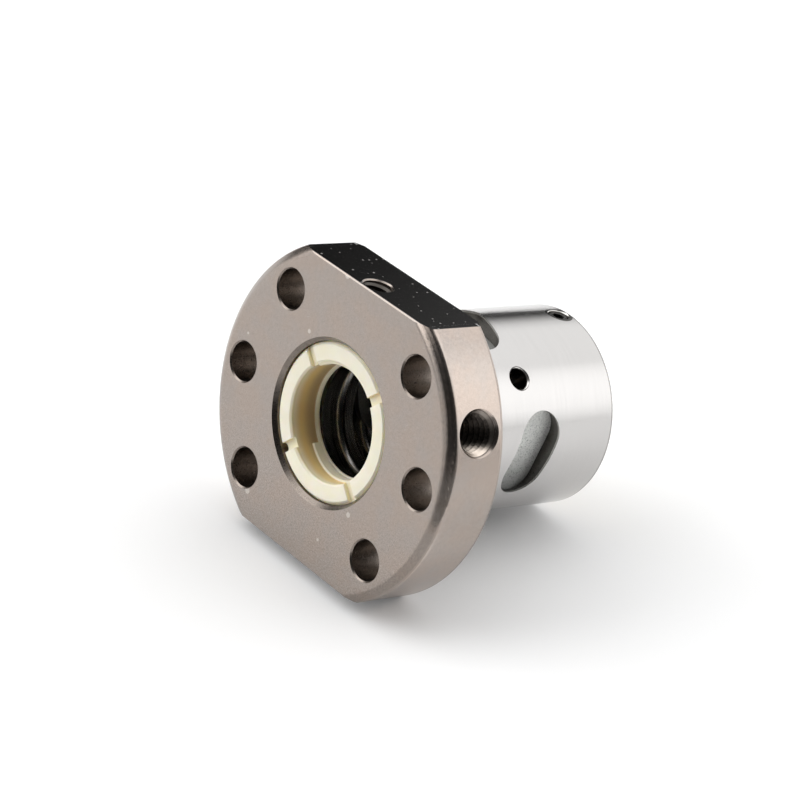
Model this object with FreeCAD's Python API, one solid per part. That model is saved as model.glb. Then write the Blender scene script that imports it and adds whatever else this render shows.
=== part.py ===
import FreeCAD, Part
import math
import os

# Flanged ball nut of a ball screw, millimetres.
# +Y is the nut's axis and points from the flange into the barrel, +Z is the normal of the upper flat,
# and the origin is on the axis, in the flange's mounting face.
# Angles are measured about the axis from +X towards +Z.

# Flange and barrel
FLANGE_D = 48.0
FLANGE_T = 10.0
FLATS_WIDTH = 40.0
BARREL_D = 28.0
BARREL_LENGTH = 30.0
RIM_CHAMFER_RADIAL = 1.2
RIM_CHAMFER_AXIAL = 0.8
RIM_FACE_ROUNDING = 0.55
RIM_EDGE_ROUNDING = 0.4
RIM_BACK_CHAMFER = 0.9
FLAT_EDGE_BEVEL = 0.2
BARREL_END_CHAMFER = 0.3
RELIEF_WIDTH = 1.1
RELIEF_DEPTH = 0.3
RELIEF_SINK = 0.2

# Bolt holes through the flange
BOLT_CIRCLE_D = 38.0
BOLT_HOLE_D = 5.5
BOLT_HOLE_BEVEL = 0.2
BOLT_STEP = 45.0
BOLT_STEPS = [-1, 0, 1, 3, 4, 5]

# Lubrication port in the rim, its passage to the raceway, and the oil hole in the barrel
PORT_THREAD_D = 6.0
PORT_DEPTH = 7.0
PORT_ANGLE = 22.5
PASSAGE_OVERRUN = 1.2
PORT_BEVEL = 0.45
PASSAGE_D = 3.0
OIL_HOLE_D = 3.0
OIL_HOLE_BEVEL = 0.3
OIL_HOLE_ANGLE = 45.0

# Balls and raceway
LEAD = 4.0
BALL_D = 2.381
BALL_CIRCLE_D = 16.5
GROOVE_RADIUS_SHARE = 0.535
POCKET_BREAK_ANGLE = 24.0
LAND_D = 17.0
BALL_GAP = 0.02
LOADED_BALLS = 16
RETURN_BALLS = 5

# Ball circuits, one return cap each
CIRCUITS = 4
CIRCUIT_STEP_ANGLE = -90.0
FIRST_CIRCUIT_ANGLE = 180.0
LAST_CIRCUIT_MARGIN = 4.1
ENTRY_ANGLE = 40.0
RETURN_RISE = 0.75
TRACK_OVERRUN = 12.0

# Return caps and their pockets
CAP_WIDTH = 7.0
CAP_LENGTH = 12.5
CAP_TILT = 15.0
CAP_FACE = 11.8
CAP_LEDGE = 10.9
CAP_LEDGE_WIDTH = 0.5
CAP_CLEARANCE = 0.03

# Wipers and their seats
SEAT_D = 22.0
SEAT_DEPTH = 5.5
SEAT_BEVEL = 0.55
WIPER_T = 5.0
WIPER_CLEARANCE = 0.05
WIPER_BEVEL = 0.5
WIPER_BORE_D = 16.4
WIPER_BORE_BEVEL = 0.25
LIP_D = 15.6
LIP_DEPTH = 4.1
RIB_D = 15.7
RIB_WIDTH = 1.8
RIB_FLANK = 0.3
RIB_ROOT = 0.4
RIB_START_ANGLE = 130.0
RIB_SWEEP = 262.0
WIPER_NOTCHES = 4
NOTCH_WIDTH = 1.4
NOTCH_DEPTH = 0.6
NOTCH_BITE_R = 0.75
BITE_ANGLE = 225.0

# Set screws that lock the wipers
FRONT_LOCK_THREAD_D = 4.0
FRONT_LOCK_MARGIN = 2.45
FRONT_SCREW_RECESS = 4.0
REAR_LOCK_THREAD_D = 3.0
REAR_LOCK_MARGIN = 2.1
REAR_SCREW_RECESS = 0.3
LOCK_BEVEL = 0.2
LOCK_CLEARANCE = 0.05
SOCKET_SHARE = 0.5
SOCKET_DEPTH = 1.5

# Derived sizes
FLANGE_R = FLANGE_D / 2
BARREL_R = BARREL_D / 2
SEAT_R = SEAT_D / 2
LAND_R = LAND_D / 2
FLAT_Z = FLATS_WIDTH / 2
PATH_R = BALL_CIRCLE_D / 2
BALL_R = BALL_D / 2
GROOVE_R = BALL_D * GROOVE_RADIUS_SHARE
BALL_PITCH = BALL_D + BALL_GAP
WIPER_R = SEAT_R - WIPER_CLEARANCE
FRONT_WIPER_Y = -FLANGE_T + SEAT_DEPTH - WIPER_T
REAR_WIPER_Y = BARREL_LENGTH - SEAT_DEPTH + WIPER_T
REACH = FLANGE_D + BARREL_LENGTH

CENTRE = FreeCAD.Vector(0, 0, 0)
X_AXIS = FreeCAD.Vector(1, 0, 0)
Y_AXIS = FreeCAD.Vector(0, 1, 0)
Z_AXIS = FreeCAD.Vector(0, 0, 1)


def polar(angle, radius, y):
    """The point at this angle from +X towards +Z, in degrees, at this radius and place along the axis."""
    a = math.radians(angle)
    return FreeCAD.Vector(radius * math.cos(a), y, radius * math.sin(a))


def turned(shape, angle):
    """A copy turned about the axis by this angle from +X towards +Z."""
    copy = shape.copy()
    copy.rotate(CENTRE, Y_AXIS, -angle)
    return copy


def rounded_corner(before, corner, after, reach):
    """Start, middle and end of the arc that rounds a corner from this far along its two sides."""
    back = (before - corner).normalize()
    ahead = (after - corner).normalize()
    half = back.getAngle(ahead) / 2
    middle = (back + ahead).normalize() * (reach * (1 - math.sin(half)) / math.cos(half))
    return corner + back * reach, corner + middle, corner + ahead * reach


def revolved(profile):
    """The solid of revolution about the axis of (radius, y) corners. A third number rounds a corner."""
    corners = [FreeCAD.Vector(corner[0], corner[1], 0) for corner in profile]
    spots = [[corner] for corner in corners]
    for i, corner in enumerate(corners):
        if len(profile[i]) > 2:
            after = corners[(i + 1) % len(corners)]
            spots[i] = rounded_corner(corners[i - 1], corner, after, profile[i][2])
    edges = []
    for spot, following in zip(spots, spots[1:] + spots[:1]):
        if len(spot) > 1:
            edges.append(Part.Arc(*spot).toShape())
        edges.append(Part.makeLine(spot[-1], following[0]))
    face = Part.Face(Part.Wire(edges))
    return face.revolve(CENTRE, Y_AXIS, 360)


def radial_drill(radius, angle, y, inner, outer, bevel):
    """A drill of this radius along a radius of the nut, with a bevel that opens it at outer."""
    direction = polar(angle, 1, 0)
    drill = Part.makeCylinder(radius, REACH, polar(angle, inner, y), direction)
    mouth = Part.makeCone(
        radius, radius + bevel + 1, bevel + 1, polar(angle, outer - bevel, y), direction
    )
    return drill.fuse(mouth)


def circuit_place(index):
    """The angle of a circuit's return cap and its place along the axis, counted from the rear seat."""
    angle = FIRST_CIRCUIT_ANGLE + index * CIRCUIT_STEP_ANGLE
    last_y = BARREL_LENGTH - SEAT_DEPTH - LAST_CIRCUIT_MARGIN
    step_y = LEAD * (1 - CIRCUIT_STEP_ANGLE / 360)
    return angle, last_y - (CIRCUITS - 1 - index) * step_y


def groove_y(angle, near):
    """Where the raceway's centre line crosses this angle, on the turn that is nearest this place."""
    first_angle, first_y = circuit_place(0)
    y = first_y + LEAD / 2 - LEAD * (angle - first_angle) / 360
    return y + LEAD * round((near - y) / LEAD)


def groove_angle(y):
    """The angle at which the raceway's centre line reaches this place along the axis."""
    first_angle, first_y = circuit_place(0)
    return first_angle + 360 * (first_y + LEAD / 2 - y) / LEAD


def helical_sweep(start_angle, sweep, start_y, path_radius, section):
    """A section swept along a right-hand helix of the nut's lead, from start_angle to lower angles."""
    helix = Part.makeHelix(LEAD, LEAD * sweep / 360, path_radius)
    helix.rotate(CENTRE, X_AXIS, -90)
    path = turned(helix, start_angle)
    path.translate(FreeCAD.Vector(0, start_y, 0))
    return Part.Wire(path.Edges).makePipeShell([section], True, True)


def groove_length(start_y, end_y):
    """A length of the raceway's groove between two places along the axis."""
    angle = groove_angle(start_y)
    heading = polar(angle - 90, 1, LEAD / (2 * math.pi * PATH_R))
    section = Part.Wire(Part.makeCircle(GROOVE_R, polar(angle, PATH_R, start_y), heading))
    return helical_sweep(angle, 360 * (end_y - start_y) / LEAD, start_y, PATH_R, section)


def raceway():
    """The ball groove that runs through the whole bore, in lengths that end inside passage and pockets."""
    start_y = -FLANGE_T + SEAT_DEPTH - LEAD / 2
    end_y = BARREL_LENGTH - SEAT_DEPTH + LEAD / 2
    breaks = [start_y, groove_y(PORT_ANGLE, start_y + LEAD)]
    first_angle, first_y = circuit_place(0)
    breaks.append(groove_y(first_angle - POCKET_BREAK_ANGLE, first_y - LEAD / 2))
    for index in range(CIRCUITS):
        angle, y = circuit_place(index)
        breaks.append(groove_y(angle + POCKET_BREAK_ANGLE, y + LEAD / 2))
    breaks.append(end_y)
    return [groove_length(y, next_y) for y, next_y in zip(breaks, breaks[1:])]


def return_point(index, offset):
    """The centre of a ball in a circuit's return, at this angle from the middle of its cap."""
    angle, y = circuit_place(index)
    u = max(-1.0, min(1.0, offset / ENTRY_ANGLE))
    crossing = LEAD / 2 * u * (3 - u * u) / 2
    rise = RETURN_RISE * (1 - u * u) ** 2
    return polar(angle + offset, PATH_R + rise, y + crossing - LEAD * offset / 360)


def return_track(index):
    """The S-shaped tube that lifts the balls over a land, from one turn of the raceway to the next."""
    half = ENTRY_ANGLE + TRACK_OVERRUN
    count = 16
    points = [return_point(index, half * (2 * i / count - 1)) for i in range(count + 1)]
    curve = Part.BSplineCurve()
    curve.interpolate(points)
    path = Part.Wire(curve.toShape())
    heading = curve.tangent(curve.FirstParameter)[0]
    section = Part.Wire(Part.makeCircle(GROOVE_R, points[0], heading))
    return path.makePipeShell([section], True, True)


def obround(width, length, inner, outer):
    """A prism with round ends along +X, from inner to outer, its long way tilted from +Z to +Y."""
    r = width / 2
    h = length / 2 - r
    a, b = FreeCAD.Vector(inner, -r, -h), FreeCAD.Vector(inner, -r, h)
    c, d = FreeCAD.Vector(inner, r, h), FreeCAD.Vector(inner, r, -h)
    top, low = FreeCAD.Vector(inner, 0, h + r), FreeCAD.Vector(inner, 0, -h - r)
    edges = [
        Part.makeLine(a, b),
        Part.Arc(b, top, c).toShape(),
        Part.makeLine(c, d),
        Part.Arc(d, low, a).toShape(),
    ]
    prism = Part.Face(Part.Wire(edges)).extrude(FreeCAD.Vector(outer - inner, 0, 0))
    prism.rotate(CENTRE, X_AXIS, -CAP_TILT)
    return prism


def stepped_obround(clearance, inner, outer):
    """The pocket's form, narrower below its ledge, less a clearance all round."""
    wide = obround(CAP_WIDTH - 2 * clearance, CAP_LENGTH - 2 * clearance, CAP_LEDGE + clearance, outer)
    step = 2 * (CAP_LEDGE_WIDTH + clearance)
    narrow = obround(CAP_WIDTH - step, CAP_LENGTH - step, inner, CAP_LEDGE + clearance)
    return wide.fuse(narrow).removeSplitter()


def placed(shape, index):
    """A copy of a shape made about +X, at a circuit's angle and place."""
    angle, y = circuit_place(index)
    copy = turned(shape, angle)
    copy.translate(FreeCAD.Vector(0, y, 0))
    return copy


def return_cap(index):
    """The cap that closes a pocket, with the return track in its inner face."""
    body = placed(stepped_obround(CAP_CLEARANCE, PATH_R / 2, CAP_FACE), index)
    bore = Part.makeCylinder(LAND_R, REACH, FreeCAD.Vector(0, -FLANGE_T, 0), Y_AXIS)
    return body.cut(bore).cut(return_track(index))


def flange_and_barrel():
    """The turned blank with its wiper seats and the flats."""
    front = -FLANGE_T
    seat_mouth = SEAT_R + SEAT_BEVEL
    relief_end = RELIEF_WIDTH + RELIEF_DEPTH
    blank = revolved(
        [
            (seat_mouth, front),
            (FLANGE_R - RIM_CHAMFER_RADIAL, front, RIM_FACE_ROUNDING),
            (FLANGE_R, front + RIM_CHAMFER_AXIAL, RIM_EDGE_ROUNDING),
            (FLANGE_R, -RIM_BACK_CHAMFER),
            (FLANGE_R - RIM_BACK_CHAMFER, 0),
            (BARREL_R + RELIEF_WIDTH, 0),
            (BARREL_R + RELIEF_WIDTH - RELIEF_SINK, -RELIEF_SINK),
            (BARREL_R - RELIEF_DEPTH, -RELIEF_SINK),
            (BARREL_R - RELIEF_DEPTH, RELIEF_WIDTH),
            (BARREL_R, relief_end),
            (BARREL_R, BARREL_LENGTH - BARREL_END_CHAMFER),
            (BARREL_R - BARREL_END_CHAMFER, BARREL_LENGTH),
            (seat_mouth, BARREL_LENGTH),
            (SEAT_R, BARREL_LENGTH - SEAT_BEVEL),
            (SEAT_R, BARREL_LENGTH - SEAT_DEPTH),
            (LAND_R, BARREL_LENGTH - SEAT_DEPTH),
            (LAND_R, front + SEAT_DEPTH),
            (SEAT_R, front + SEAT_DEPTH),
            (SEAT_R, front + SEAT_BEVEL),
        ]
    )
    return blank.cut(flat_cutter(1)).cut(flat_cutter(-1))


def flat_cutter(side):
    """What is milled off above a flat, with a fine bevel along its front and back edges."""
    e = FLAT_EDGE_BEVEL
    front = -FLANGE_T
    corners = [
        (front - 1, FLAT_Z - e - 1),
        (front + e, FLAT_Z),
        (-e, FLAT_Z),
        (1, FLAT_Z - e - 1),
        (1, FLANGE_D),
        (front - 1, FLANGE_D),
    ]
    points = [FreeCAD.Vector(-FLANGE_D, y, side * z) for y, z in corners]
    face = Part.Face(Part.makePolygon(points + points[:1]))
    return face.extrude(FreeCAD.Vector(2 * FLANGE_D, 0, 0))


def bolt_drill(step):
    """One bolt hole, bevelled at both ends."""
    place = polar(step * BOLT_STEP, BOLT_CIRCLE_D / 2, -FLANGE_T)
    r, e = BOLT_HOLE_D / 2, BOLT_HOLE_BEVEL
    drill = Part.makeCylinder(r, FLANGE_T + 2, place - Y_AXIS, Y_AXIS)
    front = Part.makeCone(r + e + 1, r, e + 1, place - Y_AXIS, Y_AXIS)
    back = Part.makeCone(r, r + e + 1, e + 1, place + Y_AXIS * (FLANGE_T - e), Y_AXIS)
    return drill.fuse(front).fuse(back)


def lubrication_port():
    """The tapped port at mid flange and the slanted passage that clears the wiper's seat."""
    mid = -FLANGE_T / 2
    floor = FLANGE_R - PORT_DEPTH
    port = radial_drill(PORT_THREAD_D / 2, PORT_ANGLE, mid, floor, FLANGE_R, PORT_BEVEL)
    start = polar(PORT_ANGLE, floor + PORT_DEPTH / 4, mid)
    slope = polar(PORT_ANGLE, PATH_R, groove_y(PORT_ANGLE, mid / 2)) - start
    passage = Part.makeCylinder(PASSAGE_D / 2, slope.Length * PASSAGE_OVERRUN, start, slope)
    return port.fuse(passage)


def oil_hole():
    """The small hole in the barrel, which meets the idle raceway between two circuits."""
    y = groove_y(OIL_HOLE_ANGLE, (circuit_place(1)[1] + circuit_place(2)[1]) / 2)
    return radial_drill(OIL_HOLE_D / 2, OIL_HOLE_ANGLE, y, PATH_R, BARREL_R, OIL_HOLE_BEVEL)


def lock_place(front):
    """A wiper's set screw: its thread's radius, its place along the axis and the height of its hole."""
    if front:
        return FRONT_LOCK_THREAD_D / 2, FRONT_LOCK_MARGIN - FLANGE_T, FLAT_Z
    return REAR_LOCK_THREAD_D / 2, BARREL_LENGTH - REAR_LOCK_MARGIN, BARREL_R


def lock_drill(front):
    """The tapped hole from outside down to a wiper."""
    r, y, outer = lock_place(front)
    return radial_drill(r, 90, y, SEAT_R - 1, outer, LOCK_BEVEL)


def nut_body():
    """Flange and barrel in one piece, with every hole, pocket and the raceway."""
    cutters = [bolt_drill(step) for step in BOLT_STEPS]
    cutters += [lubrication_port(), oil_hole(), lock_drill(True), lock_drill(False)]
    pocket = stepped_obround(0, PATH_R / 2, BARREL_R + CAP_LEDGE_WIDTH)
    cutters += [placed(pocket, index) for index in range(CIRCUITS)]
    body = flange_and_barrel()
    for cutter in cutters + raceway():
        body = body.cut(cutter)
    return body


def wiper():
    """A wiper ring with its face at y = 0, a lip at its back and a rib that winds from face to lip."""
    bore_r = WIPER_BORE_D / 2
    lip_r = LIP_D / 2
    ring = revolved(
        [
            (bore_r + WIPER_BORE_BEVEL, 0),
            (WIPER_R - WIPER_BEVEL, 0),
            (WIPER_R, WIPER_BEVEL),
            (WIPER_R, WIPER_T),
            (lip_r + WIPER_BORE_BEVEL, WIPER_T),
            (lip_r, WIPER_T - WIPER_BORE_BEVEL),
            (lip_r, LIP_DEPTH + bore_r - lip_r),
            (bore_r, LIP_DEPTH),
            (bore_r, WIPER_BORE_BEVEL),
        ]
    )
    ring = ring.fuse(wiper_rib())
    for i in range(WIPER_NOTCHES):
        ring = ring.cut(turned(notch_cutter(), 45 + i * 360 / WIPER_NOTCHES))
    bite = Part.makeCylinder(NOTCH_BITE_R, 2 * WIPER_T, polar(BITE_ANGLE, WIPER_R, -1), Y_AXIS)
    return ring.cut(bite)


def wiper_rib():
    """The helical rib, with a sloping flank towards the wiper's face and its root inside the ring."""
    crest = RIB_D / 2
    root = WIPER_BORE_D / 2 + RIB_ROOT
    corners = [(root, 0), (crest, RIB_FLANK), (crest, RIB_WIDTH), (root, RIB_WIDTH), (root, 0)]
    section = Part.makePolygon([polar(RIB_START_ANGLE, r, y) for r, y in corners])
    return helical_sweep(RIB_START_ANGLE, RIB_SWEEP, 0, WIPER_BORE_D / 2, section)


def notch_cutter():
    """A shallow radial groove in the wiper's face, at +X."""
    return Part.makeBox(
        SEAT_R, 2 * NOTCH_DEPTH, NOTCH_WIDTH, FreeCAD.Vector(LIP_D / 4, -NOTCH_DEPTH, -NOTCH_WIDTH / 2)
    )


def front_wiper():
    """The wiper in the flange."""
    part = wiper()
    part.translate(FreeCAD.Vector(0, FRONT_WIPER_Y, 0))
    return part


def rear_wiper():
    """The same wiper turned round, in the end of the barrel."""
    part = wiper()
    part.rotate(CENTRE, Z_AXIS, 180)
    part.translate(FreeCAD.Vector(0, REAR_WIPER_Y, 0))
    return part


def lock_screw(front):
    """A set screw with a hexagon socket, its tip just clear of the wiper."""
    thread_r, y, outer = lock_place(front)
    tip = WIPER_R + LOCK_CLEARANCE
    head = outer - (FRONT_SCREW_RECESS if front else REAR_SCREW_RECESS)
    rod = Part.makeCylinder(thread_r - LOCK_CLEARANCE, head - tip, FreeCAD.Vector(0, y, tip), Z_AXIS)
    rod = rod.makeChamfer(LOCK_BEVEL, [e for e in rod.Edges if e.Curve.TypeId == "Part::GeomCircle"])
    across_flats = 2 * thread_r * SOCKET_SHARE
    corner = across_flats / math.sqrt(3)
    floor = head - SOCKET_DEPTH
    corners = []
    for i in range(7):
        a = math.radians(60 * i)
        corners.append(FreeCAD.Vector(corner * math.cos(a), y + corner * math.sin(a), floor))
    socket = Part.Face(Part.makePolygon(corners)).extrude(Z_AXIS * (2 * SOCKET_DEPTH))
    return rod.cut(socket)


def loaded_balls(index):
    """The balls that carry the load, along one turn of the raceway opposite the cap."""
    angle, y = circuit_place(index)
    step = math.degrees(BALL_PITCH / math.hypot(PATH_R, LEAD / (2 * math.pi)))
    balls = []
    for i in range(LOADED_BALLS):
        turn = (i - (LOADED_BALLS - 1) / 2) * step
        centre = polar(angle + 180 + turn, PATH_R, y - LEAD * turn / 360)
        balls.append(Part.makeSphere(BALL_R, centre))
    return Part.makeCompound(balls)


def return_balls(index):
    """The balls on their way back through the cap, evenly spaced about its middle."""
    fine = 400
    points = [return_point(index, ENTRY_ANGLE * (2 * i / fine - 1)) for i in range(fine + 1)]
    along = [0.0]
    for a, b in zip(points, points[1:]):
        along.append(along[-1] + (b - a).Length)
    balls = []
    for i in range(RETURN_BALLS):
        target = along[-1] / 2 + (i - (RETURN_BALLS - 1) / 2) * BALL_PITCH
        nearest = min(range(fine + 1), key=lambda j: abs(along[j] - target))
        balls.append(Part.makeSphere(BALL_R, points[nearest]))
    return Part.makeCompound(balls)


def save(name, shape):
    """Write one sub-part."""
    shape.exportStep("parts/" + name + ".step")


os.makedirs("parts", exist_ok=True)
save("nut_body", nut_body())
save("front_wiper", front_wiper())
save("rear_wiper", rear_wiper())
save("front_lock_screw", lock_screw(True))
save("rear_lock_screw", lock_screw(False))
for circuit in range(CIRCUITS):
    number = str(circuit + 1)
    save("return_cap_" + number, return_cap(circuit))
    save("loaded_balls_" + number, loaded_balls(circuit))
    save("return_balls_" + number, return_balls(circuit))
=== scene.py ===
import math
from collections import namedtuple

import bmesh
import bpy
from mathutils import Matrix, Vector


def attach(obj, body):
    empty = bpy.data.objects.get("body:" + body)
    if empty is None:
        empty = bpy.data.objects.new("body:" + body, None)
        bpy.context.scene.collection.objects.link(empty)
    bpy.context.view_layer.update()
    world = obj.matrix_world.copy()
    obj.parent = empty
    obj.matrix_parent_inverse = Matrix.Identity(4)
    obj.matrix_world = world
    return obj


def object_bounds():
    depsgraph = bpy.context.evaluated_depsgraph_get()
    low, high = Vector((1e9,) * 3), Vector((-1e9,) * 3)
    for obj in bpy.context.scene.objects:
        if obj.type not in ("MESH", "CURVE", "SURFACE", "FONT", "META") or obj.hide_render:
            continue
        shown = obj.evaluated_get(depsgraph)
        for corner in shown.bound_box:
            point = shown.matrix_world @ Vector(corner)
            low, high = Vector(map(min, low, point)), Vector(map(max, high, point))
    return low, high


MM = 0.001

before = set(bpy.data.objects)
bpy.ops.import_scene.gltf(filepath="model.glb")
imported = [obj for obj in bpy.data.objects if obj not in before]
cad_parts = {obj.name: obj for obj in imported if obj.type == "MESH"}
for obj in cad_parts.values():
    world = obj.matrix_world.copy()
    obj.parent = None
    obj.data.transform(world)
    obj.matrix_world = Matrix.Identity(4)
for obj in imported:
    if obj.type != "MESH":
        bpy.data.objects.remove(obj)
cad_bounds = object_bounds()
scene = bpy.context.scene
scene.view_settings.view_transform = "Standard"

# The nut's axis is Y. The flange's rear face is at y = 0, the barrel points to +Y, and the flats face
# +Z and -Z. Sizes and places on the nut are in millimetres. Angles are in degrees about the axis, from
# +X towards +Z.

# Outer sizes, from the frame
cad_low, cad_high = [[round(value / MM, 3) for value in corner] for corner in cad_bounds]
FLANGE_R = cad_high[0]
FLANGE_T = -cad_low[1]
FLAT_Z = cad_high[2]
BARREL_LENGTH = cad_high[1]

# Other sizes of the body: the rim's front chamfer, the radius at which the face starts to round off, the
# bevels of the flats and the barrel's end, the end of the relief groove, and the wiper's seat
BARREL_R = 14.0
RIM_CHAMFER_RADIAL = 1.2
RIM_CHAMFER_AXIAL = 0.8
FACE_R = FLANGE_R - 1.8
FLAT_BEVEL = 0.25
BARREL_END_BEVEL = 0.35
RELIEF_END_Y = 1.6
SEAT_R = 11.0
SEAT_BEVEL_RADIAL = 0.53
SEAT_BEVEL_AXIAL = 0.6
BORE_R = SEAT_R - 0.3

# Lubrication port in the rim: its hole, its thread and the cone that leads into the thread
PORT_ANGLE = 22.5
PORT_OUT = Vector((math.cos(math.radians(PORT_ANGLE)), 0, math.sin(math.radians(PORT_ANGLE))))
PORT_Y = -FLANGE_T / 2
PORT_R = 3.0
PORT_DEPTH = 7.0
PORT_PITCH = 1.0
PORT_THREAD_START = 0.6
PORT_THREAD_LENGTH = 5.4
COUNTERSINK_R = 3.44
COUNTERSINK_FOOT_R = 2.62
COUNTERSINK_DEPTH = 0.85
COUNTERSINK_BACK_DEPTH = 0.95

# Oil hole in the barrel
OIL_HOLE_ANGLE = 45.0
OIL_HOLE_Y = 12.9
OIL_HOLE_R = 1.5

# Tapped holes for the lock screws, both at the top of the nut
LOCK_ANGLE = 90.0
FRONT_LOCK_Y = -7.55
FRONT_LOCK_R = 2.0
FRONT_LOCK_PITCH = 0.7
FRONT_LOCK_THREAD_BASE = 16.4
FRONT_LOCK_THREAD_LENGTH = 3.0
REAR_LOCK_Y = 27.9
REAR_LOCK_R = 1.5

# Wipers: the place midway between them, how far their faces stand out from it, and their bore
WIPER_MIDWAY_Y = 10.0
WIPER_OUT = 19.5
WIPER_BORE_R = 8.2

# How near a surface a point counts as on it, and how far round a hole its wall and its edge of painted
# shade reach
FACE_SKIN = 0.02
FLAT_SKIN = 0.03
RIM_SKIN = 0.15
REAR_FACE_SKIN = 0.1
WALL_REACH = 0.06
OIL_HOLE_EDGE = 0.24
REAR_LOCK_EDGE = 0.5

# The strip of painted shade at the barrel's end, and what tells two pieces of one kind apart: the pocket at
# the top lies above TOP_POCKET_Z, and the port's thread lies beyond PORT_SIDE_X
BARREL_END_WIDTH = 0.5
BARREL_END_DEPTH = 0.8
TOP_POCKET_Z = 9.5
PORT_SIDE_X = 10.0

# The rim rolls over before its chamfers: from where to where, how far under the rim's radius that
# reaches, and how high it is
FRONT_ROLL_Y = 0.65 - FLANGE_T, 1.5 - FLANGE_T
BACK_ROLL_Y = -1.25, -0.88
ROLL_REACH = 0.4
ROLL_HEIGHT = 0.09

# Stretches over which the body's colour changes: the face grows grainier downwards, painted light makes the
# rim brightest above and dullest midway, painted shade for a dark reflection lies on the lower half of the
# chamfer, and pockets are painted darker deeper in and pale outside, with a painted highlight at their edge
FACE_GRAINY_Z = -4.0, -13.0
RIM_PAINTED_TOP_LIGHT_Z = 4.0, 12.0
RIM_PAINTED_LOW_LIGHT_Z = -2.0, -8.0
CHAMFER_SHADE_Z = 1.0, -6.0
CHAMFER_SHADE_MARGIN = 0.2
POCKET_OUTER_R = BARREL_R - 1.8, BARREL_R - 0.6
POCKET_EDGE_HIGHLIGHT_R = BARREL_R - 0.38, BARREL_R - 0.22

# The same for the port's thread: across its axis for the painted highlight along its lower side, and out to
# its mouth, where its painted shade gives way to a paler colour
THREAD_LOWER_HIGHLIGHT_ACROSS = -2.5, -1.3
THREAD_MOUTH_R = FLANGE_R - 1.1, FLANGE_R - 0.7

# The same for the wipers, down from the face, where painted amber shade darkens the bore's wall deeper in,
# and how far from the bore's radius its wall and lip reach
WIPER_GROOVE_DEPTH = 0.2, 0.65
WIPER_WALL_SHADE_DEPTH = 0.3, 1.9
WIPER_AMBER_DEPTH = 1.8, 3.6
WIPER_LIP_DEPTH = 1.2, 2.6
WIPER_WALL_REACH = 0.1

# The same for the caps: painted shade darkens them low down, at the top and deep inside
CAP_LOW_SHADE_Z = -6.5, 1.5
CAP_TOP_SHADE_Z = 6.0, 9.0
CAP_DEEP_SHADE_R = 9.3, 10.3

# Floor that the nut lies on, touched by the lower flat's back edge and the barrel's end. The sheet ends
# SHEET_EDGE from the nut on the camera's side, and runs SHEET_REACH out on the others, in metres
FLOOR_PITCH = math.atan2(FLAT_Z - BARREL_R, BARREL_LENGTH)
FLOOR_UP = Vector((0, -math.sin(FLOOR_PITCH), math.cos(FLOOR_PITCH)))
SHEET_EDGE = 0.06
SHEET_REACH = 3.0
SHEET_EDGE_TOWARDS = Vector((0.8, -0.6, 0)).normalized()
SHEET_WHITE = (0.95, 0.95, 0.95)
SHEET_GLOW = 0.09

# Camera, fitted to the flange, its flats and its holes
CAMERA_PLACE = Vector((261.833, -265.635, 151.515)) * MM
CAMERA_RIGHT = Vector((0.6190572, 0.7445162, 0.2499278))
CAMERA_UP = Vector((-0.4411747, 0.0664011, 0.8949613))
CAMERA_LENS = 134.662
CAMERA_SENSOR = 36.0
CAMERA_NEAR = 0.01
CAMERA_FAR = 50.0

# The room's lights: where each stands, seen from the nut, the cosines of the angle from its middle at
# which it starts and is full, and its strength. BELOW starts at the floor's plane and fills all under it
Light = namedtuple("Light", "towards edge full strength")
KEY = Light(Vector((0.52, 0.71, 0.47)), 0.75, 1.02, 1.76)
BACK = Light(Vector((-0.02, 0.72, 0.7)), 0.69, 0.93, 1.264)
FILL = Light(Vector((-0.62, -0.68, 0.39)), 0.84, 0.9, 2.8)
LOW = Light(Vector((-0.2, -0.97, -0.13)), 0.93, 0.97, 0.76)
TOP = Light(FLOOR_UP, 0.5, 0.68, 1.64)
BELOW = Light(FLOOR_UP, 0.02, -0.06, 0.28)
# The dark round the camera, which hides the top light, and the level of the unlit room
CAMERA_DARK = Light(CAMERA_PLACE, 0.56, 0.73, 1.0)
ROOM_LEVEL = 0.032

# Colours of the body's outside
FLANGE_BROWN = (0.445, 0.376, 0.33)
FLANGE_GREY = (0.428, 0.377, 0.342)
# Painted shade on the rim's front chamfer, standing for a dark reflection
CHAMFER_PAINTED_SHADE = (0.12, 0.1, 0.085)
# Painted dark reflection on the flats, in two tones
FLAT_REFLECTION_PALE = (0.135, 0.129, 0.125)
FLAT_REFLECTION_DARK = (0.1, 0.095, 0.091)
DUST = (0.26, 0.25, 0.24)
SCRATCH = (0.72, 0.68, 0.63)
BARREL_BRIGHT = (0.57, 0.558, 0.548)
# Painted shade on the strip at the barrel's end
BARREL_END = (0.3, 0.29, 0.28)

# Colours of its holes, pockets and bore
# Painted shade on the edges round the oil hole and the rear lock screw's hole
HOLE_EDGE_SHADE = (0.08, 0.075, 0.07)
HOLE_WALL_PALE = (0.33, 0.285, 0.25)
HOLE_WALL_DARK = (0.17, 0.145, 0.125)
OIL_HOLE_WALL = (0.07, 0.066, 0.062)
POCKET_PALE = (0.15, 0.14, 0.13)
POCKET_DARK = (0.08, 0.075, 0.07)
# Pocket walls towards their mouth, paler than the painted shade deeper in
POCKET_OUTER = (0.2, 0.19, 0.18)
# Walls of the pocket at the top: painted light, paler than the others
POCKET_TOP_LIT_PALE = (0.3, 0.28, 0.26)
POCKET_TOP_LIT_DARK = (0.18, 0.17, 0.16)
# Painted highlight along the pockets' edge
POCKET_EDGE_HIGHLIGHT = (0.8, 0.78, 0.75)
SEAT_BEVEL_PALE = (0.27, 0.235, 0.205)
SEAT_BEVEL_DARK = (0.13, 0.11, 0.095)
BORE_DARK = (0.08, 0.077, 0.074)
# Pale lines in the bore: painted highlights
BORE_LINE_HIGHLIGHT = (0.29, 0.28, 0.27)

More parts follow.
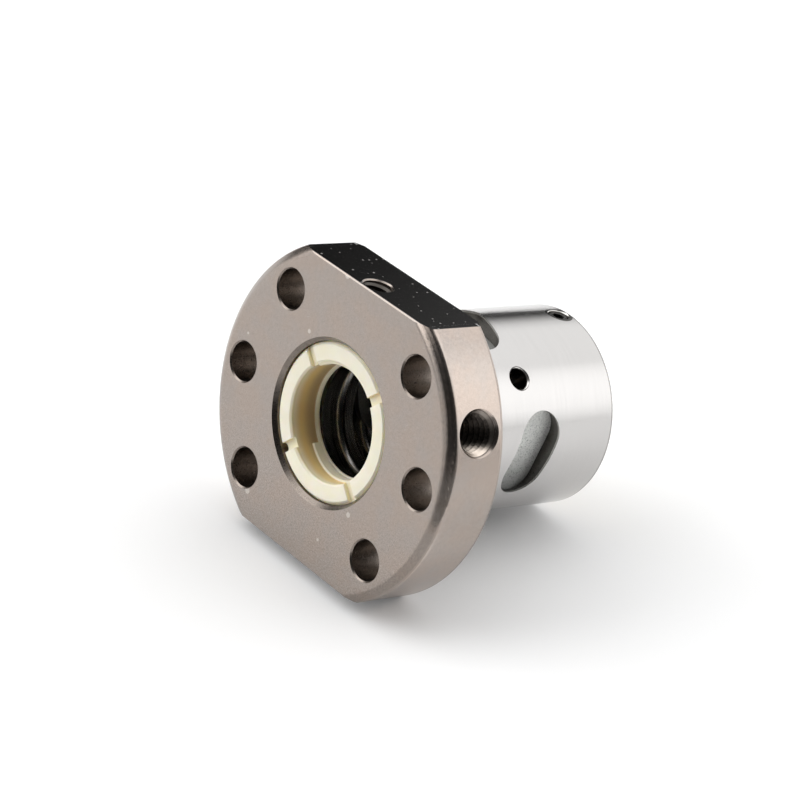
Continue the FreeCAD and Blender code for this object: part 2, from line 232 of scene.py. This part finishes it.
# Colours of the threads, painted dark as shade inside their holes
THREAD_PALE = (0.15, 0.13, 0.115)
THREAD_DARK = (0.07, 0.062, 0.055)
# The port thread's colour at its mouth, paler than the painted shade deeper in
THREAD_MOUTH = (0.3, 0.265, 0.235)
# Painted highlight along the port thread's lower side
THREAD_LOWER_HIGHLIGHT = (0.72, 0.63, 0.55)
LOCK_THREAD = (0.09, 0.082, 0.075)

# Colours of the wipers
IVORY_PALE = (0.985, 0.9, 0.75)
IVORY_DEEP = (0.97, 0.885, 0.7)
WIPER_GROOVE = (0.88, 0.79, 0.5)
# Painted amber shade on the wiper's bore wall, paler near the face and deeper further in
AMBER_PALE = (0.92, 0.7, 0.31)
AMBER_DEEP = (0.62, 0.46, 0.25)
LIP_OUTER = (0.93, 0.84, 0.62)
LIP_INNER = (0.9, 0.84, 0.66)

# Colours of the caps, balls and screws
CAP_PORE = (0.36, 0.37, 0.36)
CAP_GREY = (0.84, 0.85, 0.82)
BALL_CLEAN = (0.5, 0.49, 0.47)
BALL_OILED = (0.3, 0.28, 0.25)
SCREW_BLACK = (0.045, 0.043, 0.042)
SCREW_WORN = (0.16, 0.15, 0.14)

Place = namedtuple("Place", "point x y z radius")
Grain = namedtuple("Grain", "cloud mottle fine ground rings")


class Shader:
    """A node tree under construction. Each method adds nodes and returns their output."""

    def __init__(self, tree):
        self.tree = tree
        tree.nodes.clear()

    def node(self, kind, **settings):
        made = self.tree.nodes.new("ShaderNode" + kind)
        for name, value in settings.items():
            setattr(made, name, value)
        return made

    def feed(self, socket, value):
        """Links an output to a socket, or sets the socket to a number, colour or vector."""
        if isinstance(value, bpy.types.NodeSocket):
            self.tree.links.new(value, socket)
        elif isinstance(value, tuple) and socket.type == "RGBA" and len(value) == 3:
            socket.default_value = value + (1.0,)
        else:
            socket.default_value = value

    def math(self, operation, *values):
        made = self.node("Math", operation=operation)
        for socket, value in zip(made.inputs, values):
            self.feed(socket, value)
        return made.outputs[0]

    def over(self, value, limit):
        return self.math("GREATER_THAN", value, limit)

    def under(self, value, limit):
        return self.math("LESS_THAN", value, limit)

    def times(self, *values):
        """Their product, and for masks 1 where all of them are 1."""
        product = values[0]
        for value in values[1:]:
            product = self.math("MULTIPLY", product, value)
        return product

    def most(self, *values):
        """The highest of them, and for masks 1 where any of them is 1."""
        highest = values[0]
        for value in values[1:]:
            highest = self.math("MAXIMUM", highest, value)
        return highest

    def outside(self, mask):
        """1 where a mask is 0, and 0 where it is 1."""
        return self.math("SUBTRACT", 1.0, mask)

    def fit(self, value, gain, base):
        """The value times gain, plus base."""
        return self.math("MULTIPLY_ADD", value, gain, base)

    def step(self, value, start, end, first=0.0, last=1.0):
        """first as far as start, last from end on, and a smooth run between."""
        made = self.node("MapRange", interpolation_type="SMOOTHSTEP")
        for socket, number in zip(made.inputs, (value, start, end, first, last)):
            self.feed(socket, number)
        return made.outputs[0]

    def vector(self, operation, *values):
        made = self.node("VectorMath", operation=operation)
        for socket, value in zip(made.inputs, values):
            self.feed(socket, value)
        return made.outputs["Value" if operation in {"DOT_PRODUCT", "LENGTH"} else "Vector"]

    def scaled(self, value, factor):
        """A colour or vector times a number."""
        made = self.node("VectorMath", operation="SCALE")
        self.feed(made.inputs[0], value)
        self.feed(made.inputs["Scale"], factor)
        return made.outputs["Vector"]

    def combine(self, x, y, z):
        made = self.node("CombineXYZ")
        for socket, value in zip(made.inputs, (x, y, z)):
            self.feed(socket, value)
        return made.outputs[0]

    def mix(self, factor, first, second):
        """A colour that goes from first to second as the factor goes from 0 to 1."""
        made = self.node("Mix", data_type="RGBA")
        self.feed(made.inputs["Factor"], factor)
        self.feed(made.inputs[6], first)
        self.feed(made.inputs[7], second)
        return made.outputs[2]

    def blend(self, factor, first, second):
        """A number that goes from first to second as the factor goes from 0 to 1."""
        made = self.node("Mix", data_type="FLOAT")
        self.feed(made.inputs[0], factor)
        self.feed(made.inputs[2], first)
        self.feed(made.inputs[3], second)
        return made.outputs[0]

    def noise(self, vector, scale, detail, roughness):
        made = self.node("TexNoise")
        self.feed(made.inputs["Vector"], vector)
        self.feed(made.inputs["Scale"], scale)
        self.feed(made.inputs["Detail"], detail)
        self.feed(made.inputs["Roughness"], roughness)
        return made.outputs[0]

    def bump(self, height, distance, strength, normal=None):
        made = self.node("Bump")
        self.feed(made.inputs["Height"], height)
        self.feed(made.inputs["Distance"], distance)
        self.feed(made.inputs["Strength"], strength)
        if normal is not None:
            self.feed(made.inputs["Normal"], normal)
        return made.outputs[0]

    def place(self):
        """The point in the nut's frame, in millimetres, its x, y and z, and its distance from the axis."""
        point = self.scaled(self.node("TexCoord").outputs["Object"], 1 / MM)
        split = self.node("SeparateXYZ")
        self.feed(split.inputs[0], point)
        x, y, z = split.outputs
        square = self.math("ADD", self.times(x, x), self.times(z, z))
        return Place(point, x, y, z, self.math("SQRT", square))

    def principled(self, **inputs):
        """The surface shader, with inputs by name, joined to the material's output."""
        made = self.node("BsdfPrincipled")
        for name, value in inputs.items():
            self.feed(made.inputs[name.replace("_", " ")], value)
        out = self.node("OutputMaterial")
        self.tree.links.new(made.outputs[0], out.inputs[0])
        return made


class Finish:
    """A surface's colour and roughness, covered layer by layer."""

    def __init__(self, shader, colour, rough):
        self.shader = shader
        self.colour = colour
        self.rough = rough

    def cover(self, mask, colour=None, rough=None):
        """Puts a colour, a roughness or both where the mask is 1."""
        if colour is not None:
            self.colour = self.shader.mix(mask, self.colour, colour)
        if rough is not None:
            self.rough = self.shader.blend(mask, self.rough, rough)


def new_material(name):
    material = bpy.data.materials.new(name)
    material.use_nodes = True
    return material, Shader(material.node_tree)


def dress(obj, material):
    """Gives every face of an object this material."""
    obj.data.materials.clear()
    obj.data.materials.append(material)


def paint_node(name, material):
    """Gives a frame node this material in each of its slots."""
    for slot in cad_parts[name].material_slots:
        slot.material = material


def specks(s, x, y, size, share):
    """1 inside small round specks in a share of the cells of this size, seen along z, else 0."""
    cells = s.node("TexVoronoi", voronoi_dimensions="2D")
    s.feed(cells.inputs["Vector"], s.combine(x, y, 0.0))
    s.feed(cells.inputs["Scale"], 1 / size)
    tint = s.node("SeparateColor")
    s.feed(tint.inputs[0], cells.outputs["Color"])
    chosen = s.under(tint.outputs[0], share)
    reach = s.fit(tint.outputs[1], 0.07, 0.045)
    return s.times(chosen, s.under(cells.outputs["Distance"], reach))


def scratches(s, across, along, share):
    """1 on thin, short, straight scratches that run along, else 0."""
    field = s.noise(s.combine(across, along, 0.0), scale=1.0, detail=1.0, roughness=0.5)
    return s.step(field, share, share + 0.02)


def near_line(s, at, angle, y, reach):
    """1 within reach of the line that leaves the nut's axis at this angle and place, else 0."""
    a = math.radians(angle)
    out = (math.cos(a), 0.0, math.sin(a))
    local = s.vector("SUBTRACT", at.point, (0.0, y, 0.0))
    gap = s.vector("LENGTH", s.vector("CROSS_PRODUCT", local, out))
    return s.times(s.under(gap, reach), s.over(s.vector("DOT_PRODUCT", local, out), 0.0))


def steel_grain(s, at):
    """The steel's noise: clouds, mottling, fine grain, grinding lines and turning lines.

    The lines run round the axis, so they change fast along y or the radius and slowly along x and z.
    """
    slow = 0.12
    ground_rate = 4.5
    turned_rate = 4.0
    slow_x = s.times(at.x, slow)
    slow_z = s.times(at.z, slow)
    along = s.combine(s.times(at.y, ground_rate), slow_x, slow_z)
    outward = s.combine(s.times(at.radius, turned_rate), slow_x, slow_z)
    return Grain(
        cloud=s.noise(at.point, scale=0.22, detail=3.0, roughness=0.6),
        mottle=s.noise(at.point, scale=1.7, detail=5.0, roughness=0.7),
        fine=s.noise(at.point, scale=5.0, detail=3.0, roughness=0.65),
        ground=s.noise(along, scale=1.0, detail=5.0, roughness=0.75),
        rings=s.noise(outward, scale=1.0, detail=4.0, roughness=0.7),
    )


def flange_colour(s, at, grain, on_rim):
    """Nickel brown: grainier low on the face; on the rim, painted light makes it brighter than the face,
    brightest at the top and dullest midway.
    """
    face_level = 0.8
    face_mottle = 0.42
    rim_mottle = 0.3
    rim_graininess = 0.2
    warm = s.mix(s.step(grain.cloud, 0.35, 0.65), FLANGE_BROWN, FLANGE_GREY)
    graininess = s.blend(on_rim, s.step(at.z, *FACE_GRAINY_Z, 0.5, 1.3), rim_graininess)
    speckle = s.times(s.math("SUBTRACT", grain.fine, 0.5), graininess)
    mottling = s.fit(grain.mottle, s.blend(on_rim, face_mottle, rim_mottle), speckle)
    # Painted light on the rim: brighter than the face, brightest at the top, dullest midway, brighter again
    # low down
    upper = s.step(at.z, *RIM_PAINTED_TOP_LIGHT_Z, 0.93, 1.15)
    lower = s.step(at.z, *RIM_PAINTED_LOW_LIGHT_Z, 0.0, 0.16)
    level = s.blend(on_rim, face_level, s.math("ADD", upper, lower))
    return s.scaled(s.scaled(warm, s.math("ADD", mottling, 0.8)), level)


def chamfer_painted_shade(s, at):
    """The share of painted shade, standing for a dark reflection, on the rim's front chamfer, most on its
    lower half.
    """
    strength = 0.45
    inner = FLANGE_R - RIM_CHAMFER_RADIAL
    on_chamfer = s.times(
        s.step(at.radius, inner - CHAMFER_SHADE_MARGIN, inner + CHAMFER_SHADE_MARGIN),
        s.under(at.y, RIM_CHAMFER_AXIAL + CHAMFER_SHADE_MARGIN - FLANGE_T),
    )
    return s.times(on_chamfer, s.step(at.z, *CHAMFER_SHADE_Z, 0.0, strength))


def face_marks(s, at):
    """The share of light scratches, in two directions, and of specks on the flange's face."""
    tilt = 0.6
    strength = 0.45
    slant = s.math("SUBTRACT", s.times(at.x, tilt), at.z)
    run = s.math("ADD", at.x, s.times(at.z, tilt))
    marks = s.most(
        scratches(s, s.times(slant, 7.0), s.times(run, 0.35), 0.775),
        scratches(s, s.times(run, 8.0), s.times(slant, 0.4), 0.785),
        specks(s, at.x, at.z, size=4.0, share=0.15),
    )
    return s.times(marks, s.under(at.y, FACE_SKIN - FLANGE_T), strength)


def paint_flats(s, at, grain, steel):
    """The flats get a painted dark reflection and are smoother, and dust lies on the upper one. Returns
    where the dust is.
    """
    on_flat = s.over(s.math("ABSOLUTE", at.z), FLAT_Z - FLAT_SKIN)
    # Painted dark reflection on both flats
    steel.cover(on_flat, s.mix(grain.mottle, FLAT_REFLECTION_PALE, FLAT_REFLECTION_DARK), s.fit(grain.fine, 0.05, 0.08))
    fallen = s.most(specks(s, at.x, at.y, size=1.3, share=0.2), specks(s, at.y, at.x, size=0.8, share=0.03))
    dust = s.times(fallen, s.over(at.z, FLAT_Z - FLAT_SKIN))
    steel.cover(dust, DUST, 0.8)
    return dust


def paint_barrel_edges(s, at, steel):
    """Painted shade round the oil hole and the rear lock screw's hole, and on a strip at the barrel's end.
    """
    round_oil_hole = near_line(s, at, OIL_HOLE_ANGLE, OIL_HOLE_Y, OIL_HOLE_R + OIL_HOLE_EDGE)
    round_lock = near_line(s, at, LOCK_ANGLE, REAR_LOCK_Y, REAR_LOCK_R + REAR_LOCK_EDGE)
    steel.cover(s.most(round_oil_hole, round_lock), HOLE_EDGE_SHADE)
    at_end = s.over(at.y, BARREL_LENGTH - BARREL_END_WIDTH)
    steel.cover(s.times(at_end, s.over(at.radius, BARREL_R - BARREL_END_DEPTH)), BARREL_END)


def paint_openings(s, at, grain, steel):
    """Walls of holes are darker; those of pockets, milled, get painted shade deeper in, painted light in
    the top pocket and a painted highlight at the mouth.
    """
    in_flange = s.times(
        s.over(at.y, FACE_SKIN - FLANGE_T),
        s.under(at.y, -REAR_FACE_SKIN),
        s.under(at.radius, FACE_R),
        s.under(s.math("ABSOLUTE", at.z), FLAT_Z - FLAT_BEVEL),
    )
    in_barrel = s.times(
        s.over(at.y, RELIEF_END_Y),
        s.under(at.y, BARREL_LENGTH - BARREL_END_BEVEL),
        s.under(at.radius, BARREL_R - WALL_REACH),
    )
    oil_hole = near_line(s, at, OIL_HOLE_ANGLE, OIL_HOLE_Y, OIL_HOLE_R + WALL_REACH)
    port = near_line(s, at, PORT_ANGLE, PORT_Y, PORT_R + WALL_REACH)
    hole = s.most(in_flange, oil_hole, port)
    steel.cover(hole, s.mix(grain.mottle, HOLE_WALL_PALE, HOLE_WALL_DARK))
    steel.cover(oil_hole, OIL_HOLE_WALL)

    # Painted shade: pockets are dark and grow paler outwards. Painted light: the pocket at the top is
    # paler, and a painted highlight runs along each pocket's edge
    pocket = s.times(in_barrel, s.outside(oil_hole))
    milled = s.mix(grain.mottle, POCKET_PALE, POCKET_DARK)
    milled = s.mix(s.step(at.radius, *POCKET_OUTER_R), milled, POCKET_OUTER)
    # Painted light: the top pocket's walls, paler than the others
    clean = s.mix(grain.mottle, POCKET_TOP_LIT_PALE, POCKET_TOP_LIT_DARK)
    milled = s.mix(s.over(at.z, TOP_POCKET_Z), milled, clean)
    milled = s.mix(s.step(at.radius, *POCKET_EDGE_HIGHLIGHT_R), milled, POCKET_EDGE_HIGHLIGHT)
    steel.cover(pocket, milled)
    steel.cover(s.most(hole, pocket), rough=s.fit(grain.fine, 0.06, 0.25))


def paint_bore(s, at, grain, steel):
    """The seat's bevel is darker and mottled, and the bore behind the wiper dark, with pale lines painted
    along it as highlights.
    """
    bevel = s.times(
        s.under(at.radius, SEAT_R + SEAT_BEVEL_RADIAL),
        s.under(at.y, SEAT_BEVEL_AXIAL - FLANGE_T),
    )
    steel.cover(bevel, s.mix(grain.mottle, SEAT_BEVEL_PALE, SEAT_BEVEL_DARK))
    in_bore = s.under(at.radius, BORE_R)
    # The bore is dark, with painted highlights in pale lines along it
    steel.cover(in_bore, s.mix(s.step(grain.ground, 0.4, 0.65), BORE_DARK, BORE_LINE_HIGHLIGHT), 0.22)


def steel_relief(s, at, grain, on_barrel):
    """The steel's normal: its grain, its turning lines, and a rim that rolls over before its chamfers."""
    relief = s.blend(on_barrel, s.math("ADD", grain.mottle, grain.fine), grain.ground)
    normal = s.bump(relief, 0.01 * MM, 0.3)
    normal = s.bump(s.blend(on_barrel, grain.rings, 0.5), 0.006 * MM, 0.3, normal)
    rolled = s.times(
        s.step(at.y, *BACK_ROLL_Y, 1.0, 0.0),
        s.step(at.y, *FRONT_ROLL_Y),
        s.over(at.radius, FLANGE_R - ROLL_REACH),
    )
    return s.bump(rolled, ROLL_HEIGHT * MM, 1.0, normal)


def nut_steel():
    """Satin flange, bright ground barrel, dark bore and dark holes, with painted light and shade on the
    rim, chamfer, flats, pockets and hole edges.
    """
    material, s = new_material("nut_steel")
    at = s.place()
    grain = steel_grain(s, at)
    on_rim = s.over(at.radius, FLANGE_R - RIM_SKIN)
    on_barrel = s.over(at.y, 0.0)
    steel = Finish(s, flange_colour(s, at, grain, on_rim), s.fit(grain.mottle, 0.14, 0.16))
    barrel = s.scaled(BARREL_BRIGHT, s.fit(grain.ground, 0.14, 0.93))
    steel.cover(on_barrel, barrel, s.fit(grain.ground, 0.1, 0.12))
    steel.cover(chamfer_painted_shade(s, at), CHAMFER_PAINTED_SHADE)
    dust = paint_flats(s, at, grain, steel)
    steel.cover(face_marks(s, at), SCRATCH)
    paint_barrel_edges(s, at, steel)
    paint_openings(s, at, grain, steel)
    paint_bore(s, at, grain, steel)
    s.principled(
        Base_Color=steel.colour,
        Metallic=s.outside(dust),
        Roughness=steel.rough,
        Normal=steel_relief(s, at, grain, on_barrel),
    )
    return material


def wiper_plastic():
    """Natural ivory plastic that lets some light through, with painted amber shade on the bore's wall,
    darker deeper in.
    """
    material, s = new_material("wiper_plastic")
    at = s.place()
    cloud = s.noise(at.point, scale=0.5, detail=3.0, roughness=0.55)
    fine = s.noise(at.point, scale=7.0, detail=3.0, roughness=0.6)
    depth = s.math("SUBTRACT", WIPER_OUT, s.math("ABSOLUTE", s.math("SUBTRACT", at.y, WIPER_MIDWAY_Y)))
    rough = s.fit(fine, 0.14, 0.36)
    ivory = Finish(s, s.mix(s.step(cloud, 0.35, 0.7), IVORY_PALE, IVORY_DEEP), rough)

    groove = s.times(s.over(depth, WIPER_GROOVE_DEPTH[0]), s.under(depth, WIPER_GROOVE_DEPTH[1]))
    ivory.cover(s.times(groove, 0.5), WIPER_GROOVE)
    wall = s.under(at.radius, WIPER_BORE_R + WIPER_WALL_REACH)
    amber = s.mix(s.step(depth, *WIPER_AMBER_DEPTH), AMBER_PALE, AMBER_DEEP)
    # Painted amber shade on the bore's wall, darker deeper in
    ivory.cover(s.times(wall, s.step(depth, *WIPER_WALL_SHADE_DEPTH)), amber)
    lip = s.under(at.radius, WIPER_BORE_R - WIPER_WALL_REACH)
    ivory.cover(lip, s.mix(s.step(depth, *WIPER_LIP_DEPTH), LIP_OUTER, LIP_INNER))

    normal = s.bump(fine, 0.015 * MM, 0.4)
    surface = s.principled(Base_Color=ivory.colour, Roughness=ivory.rough, Normal=normal)
    surface.inputs["Subsurface Weight"].default_value = 0.4
    surface.inputs["Subsurface Radius"].default_value = (1.5, 1.1, 0.5)
    surface.inputs["Subsurface Scale"].default_value = 1.0 * MM
    return material


def cap_metal():
    """Matte grey sintered metal with dark pores, and painted shade low down, at the top and deep inside."""
    material, s = new_material("cap_metal")
    at = s.place()
    cloud = s.noise(at.point, scale=0.9, detail=4.0, roughness=0.6)
    grain = s.noise(at.point, scale=4.5, detail=4.0, roughness=0.7)
    # Random tone, with painted shade low down, at the top and deep inside the bore
    tone_and_shade = s.times(
        s.fit(cloud, 0.4, 0.8),
        s.step(at.z, *CAP_LOW_SHADE_Z, 0.22, 1.0),
        s.step(at.z, *CAP_TOP_SHADE_Z, 1.0, 0.4),
        s.step(at.radius, *CAP_DEEP_SHADE_R, 0.12, 1.0),
    )
    colour = s.scaled(s.mix(s.step(grain, 0.36, 0.5), CAP_PORE, CAP_GREY), tone_and_shade)
    normal = s.bump(grain, 0.03 * MM, 0.5)
    s.principled(Base_Color=colour, Metallic=0.4, Roughness=s.fit(grain, 0.15, 0.48), Normal=normal)
    return material


def ball_steel():
    """Polished bearing steel under a film of oil."""
    material, s = new_material("ball_steel")
    film = s.noise(s.place().point, scale=1.8, detail=3.0, roughness=0.55)
    colour = s.mix(film, BALL_CLEAN, BALL_OILED)
    surface = s.principled(Base_Color=colour, Metallic=1.0, Roughness=s.fit(film, 0.16, 0.05))
    surface.inputs["Coat Weight"].default_value = 0.5
    surface.inputs["Coat Roughness"].default_value = 0.08
    return material


def screw_steel():
    """Blackened steel, worn in places."""
    material, s = new_material("screw_steel")
    wear = s.noise(s.place().point, scale=3.2, detail=4.0, roughness=0.65)
    colour = s.mix(s.step(wear, 0.5, 0.75), SCREW_BLACK, SCREW_WORN)
    normal = s.bump(wear, 0.02 * MM, 0.3)
    s.principled(Base_Color=colour, Metallic=1.0, Roughness=s.fit(wear, 0.2, 0.28), Normal=normal)
    return material


def thread_steel():
    """The cut threads: painted dark as shade inside their holes, the port's paler at its mouth and with a
    painted highlight along its lower side.
    """
    material, s = new_material("thread_steel")
    at = s.place()
    grime = s.noise(at.point, scale=2.4, detail=4.0, roughness=0.6)
    in_port = s.over(at.x, PORT_SIDE_X)
    across = s.math("SUBTRACT", s.times(at.z, PORT_OUT.x), s.times(at.x, PORT_OUT.z))
    thread = Finish(s, s.mix(s.step(grime, 0.4, 0.7), THREAD_PALE, THREAD_DARK), s.fit(grime, 0.2, 0.24))
    # Less painted shade at the port's mouth
    thread.cover(s.times(s.step(at.radius, *THREAD_MOUTH_R), in_port), THREAD_MOUTH)
    # Painted highlight along the lower side of the port's thread
    thread.cover(s.times(s.step(across, *THREAD_LOWER_HIGHLIGHT_ACROSS, 1.0, 0.0), in_port), THREAD_LOWER_HIGHLIGHT)
    thread.cover(s.outside(in_port), LOCK_THREAD)
    normal = s.bump(grime, 0.02 * MM, 0.3)
    s.principled(Base_Color=thread.colour, Metallic=1.0, Roughness=thread.rough, Normal=normal)
    return material


def mesh_object(name, points, faces):
    """An object from points in millimetres and faces as lists of point numbers, with clean normals."""
    mesh = bpy.data.meshes.new(name)
    mesh.from_pydata([Vector(p) * MM for p in points], [], faces)
    work = bmesh.new()
    work.from_mesh(mesh)
    bmesh.ops.recalc_face_normals(work, faces=work.faces)
    work.to_mesh(mesh)
    work.free()
    obj = bpy.data.objects.new(name, mesh)
    scene.collection.objects.link(obj)
    return obj


def thread_ridge(name, base, axis, major, pitch, length):
    """The ridge of an internal thread that winds out of a hole from base along axis."""
    axis = Vector(axis).normalized()
    side = axis.cross(Vector((0, 1, 0))).normalized()
    other = axis.cross(side)
    # The ridge's outline in radius and in pitches along the axis. Its foot sinks a little into the wall
    foot = major + 0.02
    crest = major - 0.5 * pitch
    foot_half, crest_half = 0.49, 0.05
    outline = [(foot, -foot_half), (crest, -crest_half), (crest, crest_half), (foot, foot_half)]
    steps = 40
    run_out_steps = 0.4 * steps
    count = int(length / pitch * steps)
    points, faces = [], []
    for i in range(count + 1):
        turn = 2 * math.pi * i / steps
        out = side * math.cos(turn) + other * math.sin(turn)
        # The ridge runs out at both ends instead of stopping in a wall
        share = min(1.0, i / run_out_steps, (count - i) / run_out_steps)
        for r, shift in outline:
            height = pitch * (i / steps + shift)
            points.append(Vector(base) + axis * height + out * (foot - (foot - r) * share))
    wide = len(outline)
    for i in range(count):
        for j in range(wide):
            a, b = i * wide + j, i * wide + (j + 1) % wide
            faces.append([a, b, b + wide, a + wide])
    faces.append(list(range(wide)))
    faces.append([count * wide + j for j in range(wide)])
    return mesh_object(name, points, faces)


def port_countersink():
    """The cone that leads into the port's thread, its outer edge on the rim's cylinder."""
    along = Vector((0, 1, 0))
    across = PORT_OUT.cross(along)
    # Radius and depth below the rim: mouth, foot of the cone, and back into the wall behind it
    outline = [
        (COUNTERSINK_R, 0.02),
        (COUNTERSINK_FOOT_R, COUNTERSINK_DEPTH),
        (PORT_R + 0.03, COUNTERSINK_BACK_DEPTH),
    ]
    wide = len(outline)
    steps = 96
    points, faces = [], []
    for i in range(steps):
        turn = 2 * math.pi * i / steps
        side = along * math.cos(turn) + across * math.sin(turn)
        for radius, depth in outline:
            rim = math.sqrt(FLANGE_R ** 2 - (radius * math.sin(turn)) ** 2)
            points.append(along * PORT_Y + PORT_OUT * (rim - depth) + side * radius)
    for i in range(steps):
        for j in range(wide):
            a, b = wide * i, wide * ((i + 1) % steps)
            faces.append([a + j, a + (j + 1) % wide, b + (j + 1) % wide, b + j])
    return mesh_object("port_countersink", points, faces)


def build_threads():
    """The port's countersink and thread, and the thread over the front lock screw."""
    steel = thread_steel()
    mouth = port_countersink()
    port_floor = FLANGE_R - PORT_DEPTH
    base = PORT_OUT * (port_floor + PORT_THREAD_START) + Vector((0, PORT_Y, 0))
    port = thread_ridge("port_thread", base, PORT_OUT, PORT_R, PORT_PITCH, PORT_THREAD_LENGTH)
    base = Vector((0, FRONT_LOCK_Y, FRONT_LOCK_THREAD_BASE))
    size = FRONT_LOCK_R, FRONT_LOCK_PITCH, FRONT_LOCK_THREAD_LENGTH
    lock = thread_ridge("front_lock_thread", base, (0, 0, 1), *size)
    for piece in (mouth, port, lock):
        dress(piece, steel)
        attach(piece, "nut")


def build_floor():
    """The white sheet that the nut lies on."""
    near = SHEET_EDGE_TOWARDS
    side = Vector((-near.y, near.x, 0))
    corners = []
    for out in (SHEET_EDGE, -SHEET_REACH):
        for across in (-SHEET_REACH, SHEET_REACH):
            spot = near * out + side * across
            corners.append(Vector((spot.x, spot.y, spot.y * math.tan(FLOOR_PITCH) - FLAT_Z * MM)))
    mesh = bpy.data.meshes.new("floor")
    mesh.from_pydata(corners, [], [[0, 1, 3, 2]])
    floor = bpy.data.objects.new("floor", mesh)
    scene.collection.objects.link(floor)

    # The sheet glows a little to the camera and in mirrors, so that it stays white there
    material, s = new_material("floor_white")
    sheet = s.node("BsdfDiffuse")
    s.feed(sheet.inputs["Color"], SHEET_WHITE)
    glow = s.node("Emission")
    rays = s.node("LightPath").outputs
    seen = s.most(rays["Is Camera Ray"], rays["Is Glossy Ray"])
    s.feed(glow.inputs["Strength"], s.times(seen, SHEET_GLOW))
    both = s.node("AddShader")
    out = s.node("OutputMaterial")
    s.feed(both.inputs[0], sheet.outputs[0])
    s.feed(both.inputs[1], glow.outputs[0])
    s.feed(out.inputs[0], both.outputs[0])
    dress(floor, material)


def build_world():
    """A dim room with soft lights, which the camera itself sees as plain white."""
    world = bpy.data.worlds.new("studio")
    scene.world = world
    world.use_nodes = True
    s = Shader(world.node_tree)
    towards = s.vector("NORMALIZE", s.node("TexCoord").outputs["Generated"])

    def shine(light):
        """A round light that fades towards its edge."""
        nearness = s.vector("DOT_PRODUCT", towards, tuple(light.towards.normalized()))
        return s.step(nearness, light.edge, light.full, 0.0, light.strength)

    top = s.times(shine(TOP), s.outside(shine(CAMERA_DARK)))
    lit = s.most(top, shine(BACK), shine(KEY), shine(FILL), shine(LOW), shine(BELOW), ROOM_LEVEL)
    background = s.node("Background")
    s.feed(background.inputs["Color"], (1.0, 1.0, 1.0))
    seen = s.node("LightPath").outputs["Is Camera Ray"]
    s.feed(background.inputs["Strength"], s.blend(seen, lit, 1.0))
    s.feed(s.node("OutputWorld").inputs[0], background.outputs[0])


def build_camera():
    """The camera at the fitted place."""
    data = bpy.data.cameras.new("camera")
    data.sensor_width = CAMERA_SENSOR
    data.lens = CAMERA_LENS
    data.clip_start = CAMERA_NEAR
    data.clip_end = CAMERA_FAR
    camera = bpy.data.objects.new("camera", data)
    scene.collection.objects.link(camera)
    right = CAMERA_RIGHT.normalized()
    up = (CAMERA_UP - right * CAMERA_UP.dot(right)).normalized()
    turn = Matrix((right, up, right.cross(up))).transposed().to_4x4()
    camera.matrix_world = Matrix.Translation(CAMERA_PLACE) @ turn
    scene.camera = camera


def paint_nodes():
    """Gives every node of the frame its material."""
    paint_node("nut_body", nut_steel())
    plastic = wiper_plastic()
    black = screw_steel()
    for end in ("front", "rear"):
        paint_node(end + "_wiper", plastic)
        paint_node(end + "_lock_screw", black)
    sintered = cap_metal()
    polished = ball_steel()
    for circuit in range(1, 5):
        paint_node("return_cap_%d" % circuit, sintered)
        paint_node("loaded_balls_%d" % circuit, polished)
        paint_node("return_balls_%d" % circuit, polished)


paint_nodes()
build_threads()
build_floor()
build_world()
build_camera()
